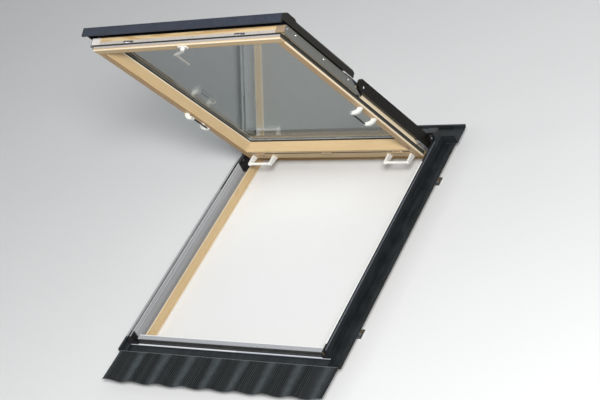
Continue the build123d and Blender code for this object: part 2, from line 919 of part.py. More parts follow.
def handle_base():
    """Plate and neck of the operating handle."""
    x0 = handle_x - base_length / 2
    y0 = handle_y - base_width / 2
    base = block(x0, x0 + base_length, y0, y0 + base_width, sash_face - base_thickness, sash_face)
    base = chamfer(base.edges().filter_by(Axis.Z), base_thickness)
    top = sash_face - base_thickness
    base += rod((handle_x, handle_y, top), (0, 0, -1), hub_radius, hub_reach - base_thickness - 1)
    bore = spindle_radius + pin_clearance
    return base - rod((handle_x, handle_y, sash_face + 1), (0, 0, -1), bore, lever_reach)


def lever():
    """Lever with its spindle: its web runs down and aside from the hub, and the bar away from the rail."""
    hub_top = sash_face - hub_reach
    low = sash_face - lever_reach
    half = lever_width / 2
    bar_x = handle_x - lever_offset
    hub = rod((handle_x, handle_y, hub_top), (0, 0, -1), hub_radius, lever_thickness)
    slope = [
        (handle_x, hub_top), (bar_x - half, low + lever_thickness), (bar_x - half, low), (bar_x + half, low),
        (handle_x, hub_top - lever_thickness),
    ]
    web = along_y(slope, handle_y - half, handle_y + half)
    end_y = handle_y + lever_length
    bar = block(bar_x - half, bar_x + half, handle_y - half, end_y, low, low + lever_thickness)
    bar = fillet(bar.edges().filter_by(Axis.Z), half - 1)
    spindle = rod((handle_x, handle_y, hub_top), (0, 0, 1), spindle_radius, hub_reach)
    return hub + web + bar + spindle


# Ventilation flap

flap_y0 = sash_head - 2 - flap_width
flap_y1 = sash_head - 2
flap_axis_y = flap_y0 - flap_gap / 2
knuckle = 3.0
flap_axis_z = sash_face - knuckle
leaf_length = 60.0
leaf_width = 12.0
flap_half = sash_out - rail_flat - 11
flap_roof = sash_face + flap_thickness + flap_swing_gap


def flap():
    section = [
        (flap_y0, sash_face), (flap_y1, sash_face), (flap_y1, sash_face + flap_thickness),
        (flap_y0, sash_face + flap_thickness),
    ]
    board = along_x(section, -flap_half, flap_half)
    return fillet(board.edges().filter_by(Axis.X), 2)


def flap_leaf(x, on_flap):
    """One leaf of a flap hinge: the fixed leaf's knuckle carries the pin that the other turns on."""
    half = leaf_length / 2
    z0 = sash_face - sheet
    if on_flap:
        start = x + 0.4
        leaf = block(x - half, x + half, flap_y0, flap_y0 + leaf_width, z0, sash_face)
        leaf += block(start, x + half, flap_axis_y, flap_y0 + 1, z0, sash_face)
    else:
        start = x - half
        leaf = block(x - half, x + half, top_flat_end - leaf_width, top_flat_end, z0, sash_face)
        leaf += block(start, x, top_flat_end - 1, flap_axis_y, z0, sash_face)
    leaf += rod((start, flap_axis_y, flap_axis_z), (1, 0, 0), knuckle, half - 0.4 if on_flap else half)
    if on_flap:
        bore = knuckle / 2 + pin_clearance
        return leaf - rod((x - half, flap_axis_y, flap_axis_z), (1, 0, 0), bore, leaf_length + 1)
    return leaf + rod((x, flap_axis_y, flap_axis_z), (1, 0, 0), knuckle / 2, half)


hinge_places = (-flap_half * 0.87, 0.0, flap_half * 0.87)


def nodes():
    """Every node by name, as a list of solids."""
    yield "frame_side_right", [frame_side()]
    yield "frame_side_left", [mirrored(frame_side())]
    yield "frame_head", [frame_head()]
    yield "frame_sill", [frame_sill()]
    yield "side_liner_right", [side_liner()]
    yield "side_liner_left", [mirrored(side_liner())]
    yield "channel_linings", pair(channel_lining())
    yield "channel_gaskets", pair(channel_gasket()) + pair(channel_insert())
    yield "side_cover_right", [side_cover()]
    yield "side_cover_left", [mirrored(side_cover())]
    yield "sill_liner", [sill_liner()]
    yield "sill_gasket", [sill_gasket()]
    yield "sill_cover", [sill_cover()]
    yield "corner_blocks", pair(corner_block())
    yield "hinge_housing_right", [hinge_housing()]
    yield "hinge_housing_left", [mirrored(hinge_housing())]
    yield "hinge_pins", pair(hinge_pin())
    yield "head_hood", [head_hood()]
    yield "corner_caps", pair(corner_cap())
    yield "side_gutter_right", [side_gutter()]
    yield "side_gutter_left", [mirrored(side_gutter())]
    yield "head_flashing", [head_flashing()]
    yield "apron_strip", [apron_strip()]
    yield "pleated_apron", [pleated_apron()]
    brackets = pair(fixing_bracket(bracket_spacing_y / 2)) + pair(fixing_bracket(-bracket_spacing_y / 2))
    yield "fixing_brackets", brackets
    yield "lock_keeps", [lock_keep(centre + tongue_length / 2) for centre in tongue_centres]

    moving = {
        "arm_right": [arm()],
        "arm_left": [mirrored(arm())],
        "arm_hinge_plates": pair(arm_hinge_plate()),
        "pivot_pins": pair(pivot_pin()),
        "sash_stile_right": [stile()],
        "sash_stile_left": [mirrored(stile())],
        "sash_top_rail": [top_rail()],
        "sash_bottom_rail": [bottom_rail()],
        "sash_seal": [sash_seal()],
        "sash_gasket": [sash_gasket(), flap_seal()],
        "inner_pane": [pane(pane_low)],
        "outer_pane": [pane(pane_high)],
        "pane_spacer": [pane_spacer()],
        "glazing_gaskets": [inner_gasket(), outer_gasket()],
        "sash_side_cover_right": [sash_side_cover()],
        "sash_side_cover_left": [mirrored(sash_side_cover())],
        "sash_bottom_cover": [bottom_cover()],
        "cover_end_caps": pair(cover_end_cap()),
        "sash_upper_covers": pair(upper_side_cover()) + [top_cover()],
        "side_plate_right": [side_plate()],
        "side_plate_left": [mirrored(side_plate())],
        "lock_strip": [lock_strip()],
        "lock_rod": [lock_rod()],
        "corner_keeps": pair(corner_keep()),
        "grab_handle_right": stile_handle(),
        "grab_handle_left": [mirrored(bracket) for bracket in stile_handle()],
        "grab_handle_bars": pair(stile_handle_bar()),
        "handle_base": [handle_base()],
        "handle_lever": [lever()],
        "ventilation_flap": [flap()],
        "flap_handle_right": [flap_handle(flap_handle_place)],
        "flap_handle_left": [flap_handle(-flap_handle_place)],
        "flap_hinge_leaves": [flap_leaf(x, False) for x in hinge_places],
        "flap_leaves": [flap_leaf(x, True) for x in hinge_places],
    }
    for name, solids in moving.items():
        yield name, [opened(solid) for solid in solids]


def main():
    os.makedirs("parts", exist_ok=True)
    for name, shapes in nodes():
        solids = [solid for shape in shapes for solid in shape.solids()]
        export_step(solids[0] if len(solids) == 1 else Compound(solids), f"parts/{name}.step")


if __name__ == "__main__":
    main()
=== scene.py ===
import bpy
import bmesh
import json
from math import cos, pi, radians, sin
from mathutils import Matrix, Vector


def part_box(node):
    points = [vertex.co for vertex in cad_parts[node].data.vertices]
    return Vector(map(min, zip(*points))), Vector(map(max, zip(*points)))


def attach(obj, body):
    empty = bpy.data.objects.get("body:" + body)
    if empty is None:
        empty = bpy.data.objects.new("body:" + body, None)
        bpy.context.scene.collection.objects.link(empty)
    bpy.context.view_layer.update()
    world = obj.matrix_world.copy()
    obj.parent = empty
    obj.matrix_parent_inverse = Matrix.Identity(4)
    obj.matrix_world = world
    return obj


# Roof window seen from its eaves side, with the sash swung out. Metres, in the frame of the CAD.

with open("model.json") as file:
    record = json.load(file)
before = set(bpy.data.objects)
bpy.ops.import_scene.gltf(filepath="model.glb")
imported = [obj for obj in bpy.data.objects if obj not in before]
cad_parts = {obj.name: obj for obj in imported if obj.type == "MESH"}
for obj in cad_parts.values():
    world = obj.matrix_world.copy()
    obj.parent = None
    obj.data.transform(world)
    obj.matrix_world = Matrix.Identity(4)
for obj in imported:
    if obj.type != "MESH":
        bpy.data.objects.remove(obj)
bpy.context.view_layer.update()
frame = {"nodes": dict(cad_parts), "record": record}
nodes = frame["nodes"]
joints = {joint["name"]: joint for joint in frame["record"]["behaviour"]["joints"]}
opening = radians(joints["arm_hinge"]["range_deg"][1])
hinge = Vector(joints["arm_hinge"]["pos_m"])
swing = Matrix.Translation(hinge) @ Matrix.Rotation(-opening, 4, "X") @ Matrix.Translation(-hinge)


# Corners of the carried nodes on the closed window

def closed_corner(name, pick, tilted):
    """The lowest (min) or highest (max) corner of a node's box, a sash piece being swung shut first."""
    turn = swing.inverted() if tilted else Matrix.Identity(4)
    points = [turn @ vertex.co for vertex in nodes[name].data.vertices]
    return Vector([pick(point[i] for point in points) for i in range(3)])


def lowest(name, tilted=False):
    return closed_corner(name, min, tilted)


def highest(name, tilted=False):
    return closed_corner(name, max, tilted)


# Places where a finish changes, in metres on the closed window

# Far enough past an edge to take in all of the piece that lies beyond it
beyond = 0.020
window_middle = 0.0

# Pleated apron
pleat_pitch = 0.009
tile_pitch = 0.150
tile_crest = 0.010
apron_top = highest("pleated_apron").y
fold_half = 0.002

# Light lining of the ledge, its wall and the channel
ledge = lowest("side_liner_right").z
# Painted shade on the ledge, and up the wall towards it
ledge_edge_shade = (ledge + 0.0005, ledge + 0.0025)
ledge_shade = (ledge, ledge + 0.0440)
# A raised line along the wall, in relief, with a painted highlight on it
wall_line = ledge + 0.0385
wall_line_half = 0.0012
# Painted shadow line just under the raised line
ridge_shadow = wall_line - 0.0030
ridge_shadow_half = 0.0008
ridge_shadow_soft = 0.0010
lining_top = highest("channel_linings").z
# Painted highlight along the top edge of the lining
wall_top_highlight = (lining_top, lining_top + 0.0005)
block_end = highest("corner_blocks").y
boot_end = (block_end - 0.003, block_end + 0.003)

# Sill cover: its front face, a painted highlight along its top edge, white on the left and grey on the right
# where it fades, and the band below
sill_front = lowest("sill_cover").y
sill_end = highest("sill_cover").x
sill_top = highest("sill_cover").z
sill_face = (sill_front - beyond, sill_front + 0.0005)
highlight_run = (sill_front - beyond, sill_front + 0.0040)
highlight_band = (sill_top - 0.005, sill_top + beyond)
drip_band = (sill_top - 0.024, sill_top - 0.010)
# Where the painted highlight turns from white to grey
tone_change = 0.05
sill_left = (-sill_end - beyond, tone_change)
sill_right = (tone_change, sill_end + beyond)

# Sill lining: a painted highlight on its inner edge, and painted shade on its riser
lining_corner = highest("sill_liner")
sill_inner_edge = (lining_corner.y - 0.0040, lining_corner.y + beyond)
sill_riser = (lowest("sill_liner").z - beyond, lining_corner.z - 0.0035)

# Lips of the side covers and of the channel rubber; the tops of the right cover and of the right rubber
# carry a painted highlight
cover_inner = lowest("side_cover_right").x
cover_outer = highest("side_cover_right").x
cover_top = highest("side_cover_right").z
right_lip = (cover_inner + 0.0005, cover_outer - 0.0010)
right_lip_top = (cover_top - 0.003, cover_top + beyond)
left_lip = (-cover_outer + 0.0004, -cover_inner + beyond)
left_lip_top = (cover_top - 0.010, cover_top + beyond)
channel_wall = highest("side_liner_right").x
rubber_top = highest("channel_gaskets").z
rubber_lip = (channel_wall - 0.0070, channel_wall + 0.0055)
rubber_lip_top = (rubber_top - 0.002, rubber_top + beyond)

# Sash: upper edge of the side plate, side of the seal beyond which it is painted dark as shade, pin's end,
# rubber next to the glass
plate_edge = highest("side_plate_right", tilted=True).z - 0.0025
seal_side = highest("sash_stile_right", tilted=True).x + 0.0002
pin_face = highest("pivot_pins", tilted=True).x - 0.0017
glass_face = lowest("inner_pane", tilted=True).z
glass_strip = (glass_face - 0.0033, glass_face - 0.0025)

# Soft borders between two tones
soft_border = 0.0006
soft_line = 0.0008
soft_zone = 0.0005


# Shader helpers

def node(tree, kind, inputs=None, **settings):
    """A shader node; an input is a value or the socket that feeds it."""
    made = tree.nodes.new("ShaderNode" + kind)
    for key, value in settings.items():
        setattr(made, key, value)
    for key, value in (inputs or {}).items():
        if isinstance(value, bpy.types.NodeSocket):
            tree.links.new(value, made.inputs[key])
        else:
            made.inputs[key].default_value = value
    return made


def new_material(name):
    made = bpy.data.materials.new(name)
    made.use_nodes = True
    tree = made.node_tree
    return made, tree, tree.nodes["Principled BSDF"]


def ramp(tree, value, *stops):
    """A colour ramp with (position, colour) stops."""
    made = node(tree, "ValToRGB", {"Fac": value})
    band = made.color_ramp
    while len(band.elements) < len(stops):
        band.elements.new(1.0)
    for element, (position, colour) in zip(band.elements, stops):
        element.position = position
        element.color = (*colour, 1.0)
    return made.outputs["Color"]


def mixed(tree, factor, first, second):
    """A mix of two colours; the sockets 0, 6 and 7 are its factor and its colours."""
    made = node(tree, "Mix", data_type="RGBA")
    for index, value in ((0, factor), (6, first), (7, second)):
        if isinstance(value, bpy.types.NodeSocket):
            tree.links.new(value, made.inputs[index])
        else:
            made.inputs[index].default_value = value if index == 0 else (*value, 1.0)
    return made.outputs[2]


def maths(tree, operation, first, second=0.0):
    made = node(tree, "Math", {0: first, 1: second}, operation=operation)
    return made.outputs[0]


def spread(tree, value, low, high, start=0.0, end=1.0):
    """A value rescaled from the range start to end, to the range low to high."""
    inputs = {"Value": value, "From Min": start, "From Max": end, "To Min": low, "To Max": high}
    return node(tree, "MapRange", inputs).outputs["Result"]


def pulse(tree, value, middle, half, soft):
    """One inside a span round a middle, falling to nothing over a soft edge."""
    away = maths(tree, "ABSOLUTE", maths(tree, "SUBTRACT", value, middle))
    return spread(tree, away, 1.0, 0.0, half, half + soft)


def local(tree, tilted=False, shift=(0, 0, 0), scale=(1, 1, 1)):
    """Places on the object, turned for a sash piece so that Y runs along its sides."""
    place = node(tree, "TexCoord").outputs["Object"]
    if tilted:
        place = node(tree, "Mapping", {"Vector": place, "Rotation": (opening, 0, 0)}).outputs[0]
    return node(tree, "Mapping", {"Vector": place, "Location": shift, "Scale": scale}).outputs[0]


def closed_place(tree, tilted):
    """The X, Y and Z sockets of places on the closed window, also for a piece of the swung sash."""
    place = node(tree, "TexCoord").outputs["Object"]
    if tilted:
        shift = tuple(hinge - Matrix.Rotation(opening, 3, "X") @ hinge)
        inputs = {"Vector": place, "Rotation": (opening, 0, 0), "Location": shift}
        place = node(tree, "Mapping", inputs).outputs[0]
    return node(tree, "SeparateXYZ", {"Vector": place}).outputs


def along(tree, spot, axis):
    """The place along an axis, or for "side" the distance to either side of the middle."""
    return maths(tree, "ABSOLUTE", spot[0]) if axis == "side" else spot["XYZ".index(axis)]


def noise(tree, place, scale, detail=3.0, rough=0.5):
    inputs = {"Vector": place, "Scale": scale, "Detail": detail, "Roughness": rough}
    return node(tree, "TexNoise", inputs).outputs["Fac"]


def bump(tree, shader, height, strength, distance):
    made = node(tree, "Bump", {"Height": height, "Strength": strength, "Distance": distance})
    tree.links.new(made.outputs["Normal"], shader.inputs["Normal"])


def toned(colour, factor):
    """A colour made darker or paler by a factor."""
    return tuple(min(channel * factor, 1.0) for channel in colour)


# Wood

pine_pale = (0.78, 0.600, 0.345)
pine_mid = (0.67, 0.480, 0.250)
pine_ring = (0.545, 0.350, 0.150)
pine_line = (0.44, 0.255, 0.105)
knot_brown = (0.17, 0.075, 0.030)
# Painted highlights along the rounded edges of the wood
highlight_pale = (0.95, 0.86, 0.70)
highlight_cream = (0.95, 0.80, 0.57)
# Painted shade over the flats of the stiles
flat_shade_brown = (0.44, 0.25, 0.11)
# Painted shadow line at the step between flat and slope
groove_shadow_brown = (0.20, 0.085, 0.035)
# Painted shadow in the gap between the top rail and the flap
gap_shadow_black = (0.020, 0.014, 0.010)


def growth_rings(tree, long):
    """Rings round the heart, wandering a little along the board."""
    wander = node(tree, "TexNoise", {"Vector": long, "Scale": 11.0, "Detail": 2.0}).outputs["Color"]
    offset = node(tree, "VectorMath", {0: wander, 1: (0.5, 0.5, 0.5)}, operation="SUBTRACT").outputs[0]
    offset = node(tree, "VectorMath", {0: offset, "Scale": 0.030}, operation="SCALE").outputs[0]
    bent = node(tree, "VectorMath", {0: long, 1: offset}, operation="ADD").outputs[0]
    waves = {"Vector": bent, "Scale": 88.0, "Distortion": 1.4, "Detail": 1.5, "Detail Scale": 2.0}
    settings = {"wave_type": "RINGS", "rings_direction": "Y", "wave_profile": "SIN"}
    return node(tree, "TexWave", waves, **settings).outputs["Fac"]


def knotted(tree, place, colour):
    """A few knots with a darker halo, in some cells of a stretched pattern."""
    share_without = 0.62
    knot_edge = (0.045, 0.085)
    halo_edge = (0.085, 0.19)
    spots = node(tree, "Mapping", {"Vector": place, "Scale": (8.5, 3.4, 8.5)}).outputs[0]
    cells = node(tree, "TexVoronoi", {"Vector": spots, "Scale": 1.0, "Randomness": 1.0})
    chance = node(tree, "SeparateColor", {0: cells.outputs["Color"]}).outputs[0]
    rare = maths(tree, "GREATER_THAN", chance, share_without)
    away = cells.outputs["Distance"]
    knot = maths(tree, "MULTIPLY", spread(tree, away, 1.0, 0.0, *knot_edge), rare)
    halo = maths(tree, "MULTIPLY", spread(tree, away, 0.45, 0.0, *halo_edge), rare)
    return mixed(tree, knot, mixed(tree, halo, colour, pine_line), knot_brown)


def pine(name, centre, along_x, tilted, seed, trims=()):
    """Lacquered pine: growth rings round a heart beside the board, fibres, a few knots, and trims that paint
    highlights along its edges and paint shade on its flats, steps and gaps.
    """
    made, tree, shader = new_material("pine_" + name)
    heart = Vector((0.055 + 0.02 * (seed % 3), 0.37 * seed, -0.075 + 0.015 * (seed % 2)))
    turned = Matrix.Rotation(opening if tilted else 0.0, 3, "X") @ Vector(centre)
    place = local(tree, tilted, tuple(heart - turned))
    if along_x:
        place = node(tree, "Mapping", {"Vector": place, "Rotation": (0, 0, pi / 2)}).outputs[0]
    long = node(tree, "Mapping", {"Vector": place, "Scale": (1, 0.09, 1)}).outputs[0]
    thin = node(tree, "Mapping", {"Vector": place, "Scale": (1, 0.02, 1)}).outputs[0]
    rings = growth_rings(tree, long)
    fibre = noise(tree, thin, 520.0, 4.0, 0.6)
    broad = noise(tree, long, 17.0, 2.0)
    colour = ramp(tree, rings, (0.0, pine_pale), (0.50, pine_pale), (1.0, pine_ring))
    colour = mixed(tree, spread(tree, broad, 0.0, 0.75, 0.35, 0.70), colour, pine_mid)
    colour = mixed(tree, spread(tree, fibre, 0.0, 0.30, 0.45, 0.8), colour, pine_line)
    colour = knotted(tree, place, colour)
    spot = closed_place(tree, tilted)
    for axis, middle, half, paint, share in trims:
        line = pulse(tree, along(tree, spot, axis), middle, half, soft_line)
        colour = mixed(tree, maths(tree, "MULTIPLY", line, share), colour, paint)
    tree.links.new(colour, shader.inputs["Base Color"])
    tree.links.new(spread(tree, fibre, 0.34, 0.50), shader.inputs["Roughness"])
    shader.inputs["Coat Weight"].default_value = 0.35
    shader.inputs["Coat Roughness"].default_value = 0.20
    height = maths(tree, "ADD", maths(tree, "MULTIPLY", rings, 0.35), fibre)
    bump(tree, shader, height, 0.22, 0.0004)
    return made


# Painted sheet

def painted(name, colour, roughness, coat=0.0, tilted=False, streaks=0.10, gloss=0.22):
    """Baked paint on sheet metal: orange peel, faint streaks down the slope, uneven gloss."""
    made, tree, shader = new_material(name)
    place = local(tree, tilted)
    streak = local(tree, tilted, scale=(1, 0.06, 1))
    cloud = maths(tree, "MULTIPLY", noise(tree, place, 14.0), 0.5)
    run = maths(tree, "MULTIPLY", noise(tree, streak, 70.0), 0.5)
    shade = maths(tree, "ADD", cloud, run)
    swing_of_tone = 1.6 * streaks
    dark = toned(colour, 1 - swing_of_tone)
    pale = tuple(min(channel * (1 + swing_of_tone) + 0.02 * streaks, 1.0) for channel in colour)
    tree.links.new(ramp(tree, shade, (0.36, dark), (0.64, pale)), shader.inputs["Base Color"])
    rough = spread(tree, shade, roughness - 0.06, roughness + 0.08, 0.35, 0.65)
    tree.links.new(rough, shader.inputs["Roughness"])
    shader.inputs["Specular IOR Level"].default_value = gloss
    shader.inputs["Coat Weight"].default_value = coat
    shader.inputs["Coat Roughness"].default_value = 0.12
    bump(tree, shader, noise(tree, place, 900.0, 2.0), 0.05, 0.0003)
    return made


def clouded(tree, shader, shade, cloud, roughness, gloss):
    """Gives a shader its tone, and a roughness and relief that follow a cloud."""
    tree.links.new(shade, shader.inputs["Base Color"])
    rough = spread(tree, cloud, roughness - 0.06, roughness + 0.08)
    tree.links.new(rough, shader.inputs["Roughness"])
    shader.inputs["Specular IOR Level"].default_value = gloss
    bump(tree, shader, cloud, 0.08, 0.0003)


def zoned_paint(name, colour, zones, roughness=0.38):
    """Paint with zones of other tones, each between limits along some axes of the closed frame."""
    made, tree, shader = new_material(name)
    spot = closed_place(tree, tilted=False)
    cloud = noise(tree, local(tree), 120.0, 4.0)
    shade = mixed(tree, spread(tree, cloud, 0.0, 0.3, 0.4, 0.7), colour, toned(colour, 0.6))
    for tone, limits in zones:
        inside = None
        for axis, (low, high) in limits.items():
            part = pulse(tree, along(tree, spot, axis), (low + high) / 2, (high - low) / 2, soft_zone)
            inside = part if inside is None else maths(tree, "MULTIPLY", inside, part)
        shade = mixed(tree, inside, shade, tone)
    clouded(tree, shader, shade, cloud, roughness, gloss=0.35)
    return made


def split_paint(name, axis, limit, below, above, roughness=0.4, gloss=0.22):
    """Two tones that meet at a place on the closed window, on a piece of the sash."""
    made, tree, shader = new_material(name)
    value = along(tree, closed_place(tree, tilted=True), axis)
    cloud = noise(tree, local(tree, tilted=True), 160.0, 4.0)
    shade = mixed(tree, spread(tree, value, 0.0, 1.0, limit, limit + soft_border), below, above)
    shade = mixed(tree, spread(tree, cloud, 0.0, 0.22, 0.4, 0.7), shade, toned(below, 0.5))
    clouded(tree, shader, shade, cloud, roughness, gloss)
    return made


def pleated_sheet(name, colour):
    """Painted sheet in pleats with its light painted in: painted shade in the valleys, painted highlights on
    the crests, painted shade that differs from fold to fold, and a painted highlight on one flank of each
    tile wave.
    """
    made, tree, shader = new_material(name)
    x, y, _ = closed_place(tree, tilted=False)
    first_pleat = 200.0
    count = maths(tree, "ADD", maths(tree, "DIVIDE", x, pleat_pitch), first_pleat)
    crest = maths(tree, "PINGPONG", maths(tree, "MULTIPLY", count, 2.0), 1.0)
    fold_number = {"W": maths(tree, "FLOOR", count)}
    uneven_shade = node(tree, "TexWhiteNoise", fold_number, noise_dimensions="1D").outputs["Value"]
    # Painted highlight on the flank of each tile wave that faces the light
    phase = maths(tree, "MULTIPLY", maths(tree, "SUBTRACT", x, tile_crest), 2 * pi / tile_pitch)
    flank_light = spread(tree, maths(tree, "SINE", phase), 1.0, 0.0, -1.0, 0.2)
    flank_light = maths(tree, "MULTIPLY", maths(tree, "POWER", flank_light, 2.0), 0.75)
    dark, middle, pale = (toned(colour, factor) for factor in (0.25, 0.9, 1.7))
    shade = ramp(tree, crest, (0.15, dark), (0.6, middle), (1.0, pale))
    shade = mixed(tree, spread(tree, uneven_shade, 0.0, 0.8), shade, dark)
    shade = mixed(tree, flank_light, shade, toned(colour, 2.6))
    cloud = noise(tree, local(tree), 30.0)
    shade = mixed(tree, spread(tree, cloud, 0.0, 0.3, 0.4, 0.7), shade, dark)
    crests = spread(tree, crest, 0.0, 1.0, 0.35, 0.65)
    fold = maths(tree, "MULTIPLY", pulse(tree, y, apron_top, fold_half, fold_half), crests)
    shade = mixed(tree, fold, shade, (0.22, 0.23, 0.24))
    tree.links.new(shade, shader.inputs["Base Color"])
    shader.inputs["Roughness"].default_value = 0.5
    shader.inputs["Specular IOR Level"].default_value = 0.2
    return made


def lined_sheet(name, colour):
    """Light lining: a raised line along its wall with a painted highlight on it and a painted shadow line
    under it, painted shade on the ledge and towards it, a painted highlight on its top, and a black boot.
    """
    made, tree, shader = new_material(name)
    _, y, z = closed_place(tree, tilted=False)
    cloud = noise(tree, local(tree, scale=(1, 0.06, 1)), 60.0)
    shade = ramp(tree, cloud, (0.35, toned(colour, 0.90)), (0.65, colour))
    shade = mixed(tree, spread(tree, z, 0.35, 0.0, *ledge_shade), shade, (0.16, 0.15, 0.135))
    raised = pulse(tree, z, wall_line, wall_line_half, soft_line)
    shade = mixed(tree, raised, shade, (0.62, 0.63, 0.65))
    # Painted shadow line under the raised line
    ridge_shadow_line = pulse(tree, z, ridge_shadow, ridge_shadow_half, ridge_shadow_soft)
    shade = mixed(tree, ridge_shadow_line, shade, (0.13, 0.13, 0.13))
    shade = mixed(tree, spread(tree, z, 1.0, 0.0, *ledge_edge_shade), shade, (0.17, 0.155, 0.135))
    shade = mixed(tree, spread(tree, y, 1.0, 0.0, *boot_end), shade, (0.010, 0.010, 0.010))
    shade = mixed(tree, spread(tree, z, 0.0, 1.0, *wall_top_highlight), shade, (0.85, 0.85, 0.83))
    tree.links.new(shade, shader.inputs["Base Color"])
    tree.links.new(spread(tree, cloud, 0.34, 0.46, 0.35, 0.65), shader.inputs["Roughness"])
    shader.inputs["Specular IOR Level"].default_value = 0.3
    bump(tree, shader, raised, 0.6, 0.001)
    return made


# Rubber, metal, plastic and glass

def glazing_rubber(name):
    """Black at the wood, with a dim brown-grey strip next to the glass."""
    made, tree, shader = new_material(name)
    z = closed_place(tree, tilted=True)[2]
    strip = spread(tree, z, 0.0, 1.0, *glass_strip)
    shade = mixed(tree, strip, (0.006, 0.006, 0.006), (0.105, 0.088, 0.072))
    tree.links.new(shade, shader.inputs["Base Color"])
    shader.inputs["Roughness"].default_value = 0.6
    shader.inputs["Specular IOR Level"].default_value = 0.15
    return made


def rubber(name, colour):
    """Soft black rubber with a faint pale bloom."""
    made, tree, shader = new_material(name)
    place = local(tree)
    bloom = noise(tree, place, 40.0, 4.0)
    pale = tuple(channel * 1.8 + 0.01 for channel in colour)
    tree.links.new(ramp(tree, bloom, (0.35, colour), (0.75, pale)), shader.inputs["Base Color"])
    tree.links.new(spread(tree, bloom, 0.62, 0.82), shader.inputs["Roughness"])
    bump(tree, shader, noise(tree, place, 1500.0, 2.0), 0.12, 0.0003)
    return made


def plated(name, colour, roughness, tilted=False, brushed=False):
    """Zinc plate or mill aluminium: a cloudy crystal pattern, with fine drawn lines where brushed."""
    made, tree, shader = new_material(name)
    crystals = node(tree, "TexVoronoi", {"Vector": local(tree, tilted), "Scale": 240.0}).outputs["Color"]
    grey = node(tree, "RGBToBW", {"Color": crystals}).outputs[0]
    shade = ramp(tree, grey, (0.2, toned(colour, 0.86)), (0.8, toned(colour, 1.08)))
    tree.links.new(shade, shader.inputs["Base Color"])
    relief = noise(tree, local(tree, tilted, scale=(1, 0.03, 1)), 1300.0, 2.0) if brushed else grey
    tree.links.new(spread(tree, relief, roughness - 0.08, roughness + 0.12), shader.inputs["Roughness"])
    shader.inputs["Metallic"].default_value = 1.0
    bump(tree, shader, relief, 0.10, 0.0002)
    return made


def moulded(name, colour, roughness, grain=700.0, strength=0.06):
    """Moulded plastic or a black casting, with a fine spark texture."""
    made, tree, shader = new_material(name)
    place = local(tree)
    cloud = noise(tree, place, 22.0)
    shade = ramp(tree, cloud, (0.35, toned(colour, 0.94)), (0.65, toned(colour, 1.04)))
    tree.links.new(shade, shader.inputs["Base Color"])
    rough = spread(tree, cloud, roughness - 0.05, roughness + 0.07)
    tree.links.new(rough, shader.inputs["Roughness"])
    bump(tree, shader, noise(tree, place, grain), strength, 0.0003)
    return made


def window_glass(name):
    """Clear float glass that lets lamps through, with a trace of dust."""
    made, tree, shader = new_material(name)
    shader.inputs["Transmission Weight"].default_value = 1.0
    shader.inputs["IOR"].default_value = 1.45
    dust = noise(tree, local(tree, tilted=True), 9.0, 5.0, 0.65)
    tint = ramp(tree, dust, (0.3, (0.93, 0.965, 0.955)), (0.8, (0.96, 0.98, 0.975)))
    tree.links.new(tint, shader.inputs["Base Color"])
    tree.links.new(spread(tree, dust, 0.0, 0.03, 0.4, 0.8), shader.inputs["Roughness"])
    clear = node(tree, "BsdfTransparent", {"Color": (0.93, 0.96, 0.95, 1)})
    shadow = node(tree, "LightPath").outputs["Is Shadow Ray"]
    both = node(tree, "MixShader", {0: shadow, 1: shader.outputs[0], 2: clear.outputs[0]})
    tree.links.new(both.outputs[0], tree.nodes["Material Output"].inputs["Surface"])
    return made


# Finishes of this window

black = (0.010, 0.010, 0.010)
rubber_black = (0.012, 0.012, 0.012)
# Painted highlight along the top edge of the sill cover, fading from white to grey
highlight_white = (0.88, 0.90, 0.93)
highlight_grey = (0.68, 0.71, 0.77)
drip_blue = (0.035, 0.044, 0.062)
# Painted highlight on the top of the right side cover
lip_highlight_blue = (0.090, 0.100, 0.120)
lip_grey = (0.40, 0.41, 0.42)
# Painted highlight on the top of the right channel rubber
rubber_highlight_white = (0.88, 0.88, 0.86)
# Painted highlight on the inner edge of the sill lining
edge_highlight_white = (0.88, 0.88, 0.88)
# Painted shade on the riser of the sill lining
riser_shade_black = (0.020, 0.022, 0.028)
plate_grey = (0.18, 0.18, 0.165)
seal_lilac = (0.47, 0.435, 0.405)
seal_shade_black = (0.045, 0.044, 0.040)
pin_bright = (0.78, 0.78, 0.80)
keep_white = (0.76, 0.72, 0.69)
# Painted shade on the right corner keep, which is white plastic like the left
keep_shade_tan = (0.36, 0.26, 0.16)

sill_zones = [
    (drip_blue, {"Y": sill_face, "Z": drip_band}),
    (highlight_white, {"Y": highlight_run, "Z": highlight_band, "X": sill_left}),
    (highlight_grey, {"Y": highlight_run, "Z": highlight_band, "X": sill_right}),
]
side_cover_zones = [
    (lip_highlight_blue, {"X": right_lip, "Z": right_lip_top}),
    (lip_grey, {"X": left_lip, "Z": left_lip_top}),
]
rubber_zones = [(rubber_highlight_white, {"X": rubber_lip, "Z": rubber_lip_top})]
sill_lining_zones = [(edge_highlight_white, {"Y": sill_inner_edge}), (riser_shade_black, {"Z": sill_riser})]

